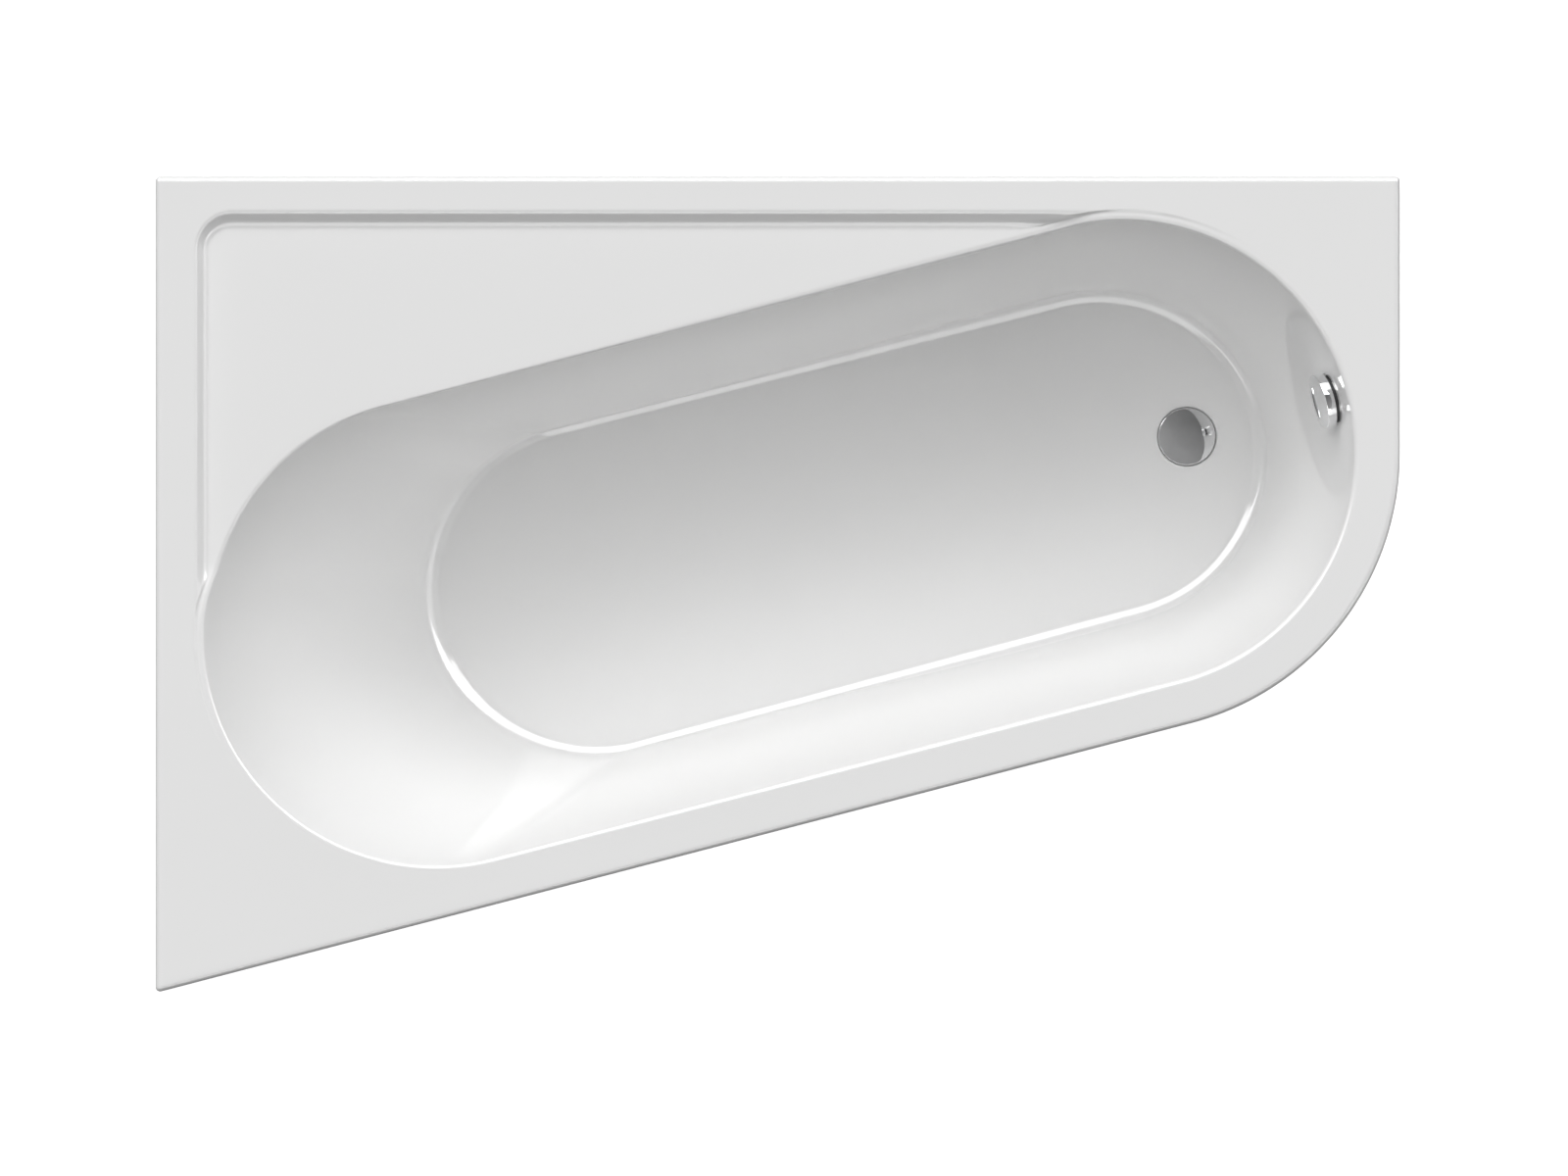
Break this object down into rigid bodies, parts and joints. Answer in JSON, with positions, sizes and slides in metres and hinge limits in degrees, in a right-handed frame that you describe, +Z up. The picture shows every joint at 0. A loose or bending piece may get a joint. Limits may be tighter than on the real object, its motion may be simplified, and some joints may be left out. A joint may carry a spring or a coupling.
{
  "type": "corner bathtub",
  "caption": "White asymmetric corner bathtub with slanted front, recessed shelf, rotary pop-up waste, overflow, trap, support frame with levelling feet and front panel.",
  "frame": {"origin": "centre of the outline at floor level", "axes": "+X along the straight back edge to the drain end, +Y to the back wall, +Z up"},
  "size_m": [1.6, 1.048, 0.58],
  "materials": {
    "acrylic": "glossy white sanitary acrylic",
    "board": "sealed particle board and softwood",
    "galvanised": "zinc plated sheet steel",
    "steel": "polished stainless steel",
    "chrome": "polished chrome plating",
    "brass": "turned brass",
    "white_plastic": "moulded polypropylene",
    "hose_plastic": "ribbed flexible plastic",
    "black_plastic": "moulded polyamide",
    "rubber": "soft sealing rubber"
  },
  "bodies": {
    "tub": {"tub_shell": "acrylic", "base_board": "board", "batten_back": "board", "batten_left": "board", "batten_front": "board", "batten_right": "board", "rail_head": "galvanised", "rail_drain": "galvanised", "lock_nuts": "galvanised", "post_shelf": "galvanised", "post_right": "galvanised", "post_front": "galvanised", "post_inserts": "black_plastic", "apron_panel": "acrylic", "panel_brackets": "galvanised", "panel_clips": "galvanised", "wall_clips": "galvanised", "strainer": "steel", "strainer_washer": "rubber", "under_washer": "rubber", "waste_body": "white_plastic", "rocker_pin": "steel", "trap_nut": "white_plastic", "trap_body": "white_plastic", "outlet_nut": "white_plastic", "over_washer": "rubber", "overflow_body": "white_plastic", "overflow_grille": "steel", "grille_screws": "steel", "overflow_hose": "hose_plastic", "hose_nuts": "white_plastic", "lift_cable": "black_plastic", "cable_clips": "black_plastic"},
    "knob": {"overflow_knob": "chrome", "knob_spindle": "brass"},
    "plug": {"plug_cap": "chrome", "plug_seal": "rubber", "plug_stem": "brass"},
    "rocker_arm": {"rocker": "brass"},
    "outlet": {"outlet_elbow": "white_plastic"},
    "foot_head_back": {"rod_head_back": "galvanised", "pad_head_back": "black_plastic"},
    "foot_head_front": {"rod_head_front": "galvanised", "pad_head_front": "black_plastic"},
    "foot_drain_back": {"rod_drain_back": "galvanised", "pad_drain_back": "black_plastic"},
    "foot_drain_front": {"rod_drain_front": "galvanised", "pad_drain_front": "black_plastic"},
    "foot_shelf_post": {"rod_shelf_post": "galvanised", "pad_shelf_post": "black_plastic"},
    "foot_right_post": {"rod_right_post": "galvanised", "pad_right_post": "black_plastic"},
    "foot_front_post": {"rod_front_post": "galvanised", "pad_front_post": "black_plastic"}
  },
  "joints": [
    {"name": "knob_turn", "type": "hinge", "parent": "tub", "child": "knob", "pos_m": [0.71339, 0.23919, 0.507], "axis": [-0.9331, -0.2431, 0.2648], "range_deg": [0, 110]},
    {"name": "plug_lift", "type": "slide", "parent": "tub", "child": "plug", "axis": [0, 0, 1], "range_m": [0, 0.008]},
    {"name": "rocker_turn", "type": "hinge", "parent": "tub", "child": "rocker_arm", "pos_m": [0.54341, 0.19491, 0.1163], "axis": [-0.2521, 0.9677, 0], "range_deg": [0, 22]},
    {"name": "outlet_turn", "type": "hinge", "parent": "tub", "child": "outlet", "pos_m": [0.526, 0.26038, 0.063], "axis": [0, 1, 0], "range_deg": [-40, 40]},
    {"name": "head_back_level", "type": "slide", "parent": "tub", "child": "foot_head_back", "axis": [0, 0, -1], "range_m": [-0.008, 0.01]},
    {"name": "head_front_level", "type": "slide", "parent": "tub", "child": "foot_head_front", "axis": [0, 0, -1], "range_m": [-0.008, 0.01]},
    {"name": "drain_back_level", "type": "slide", "parent": "tub", "child": "foot_drain_back", "axis": [0, 0, -1], "range_m": [-0.008, 0.01]},
    {"name": "drain_front_level", "type": "slide", "parent": "tub", "child": "foot_drain_front", "axis": [0, 0, -1], "range_m": [-0.008, 0.01]},
    {"name": "shelf_post_level", "type": "slide", "parent": "tub", "child": "foot_shelf_post", "axis": [0, 0, -1], "range_m": [-0.01, 0.02]},
    {"name": "right_post_level", "type": "slide", "parent": "tub", "child": "foot_right_post", "axis": [0, 0, -1], "range_m": [-0.01, 0.02]},
    {"name": "front_post_level", "type": "slide", "parent": "tub", "child": "foot_front_post", "axis": [0, 0, -1], "range_m": [-0.01, 0.02]}
  ],
  "couplings": [
    {"joint": "plug_lift", "follows": "knob_turn", "m_per_rad": 0.00416},
    {"joint": "rocker_turn", "follows": "knob_turn", "ratio": 0.199}
  ]
}
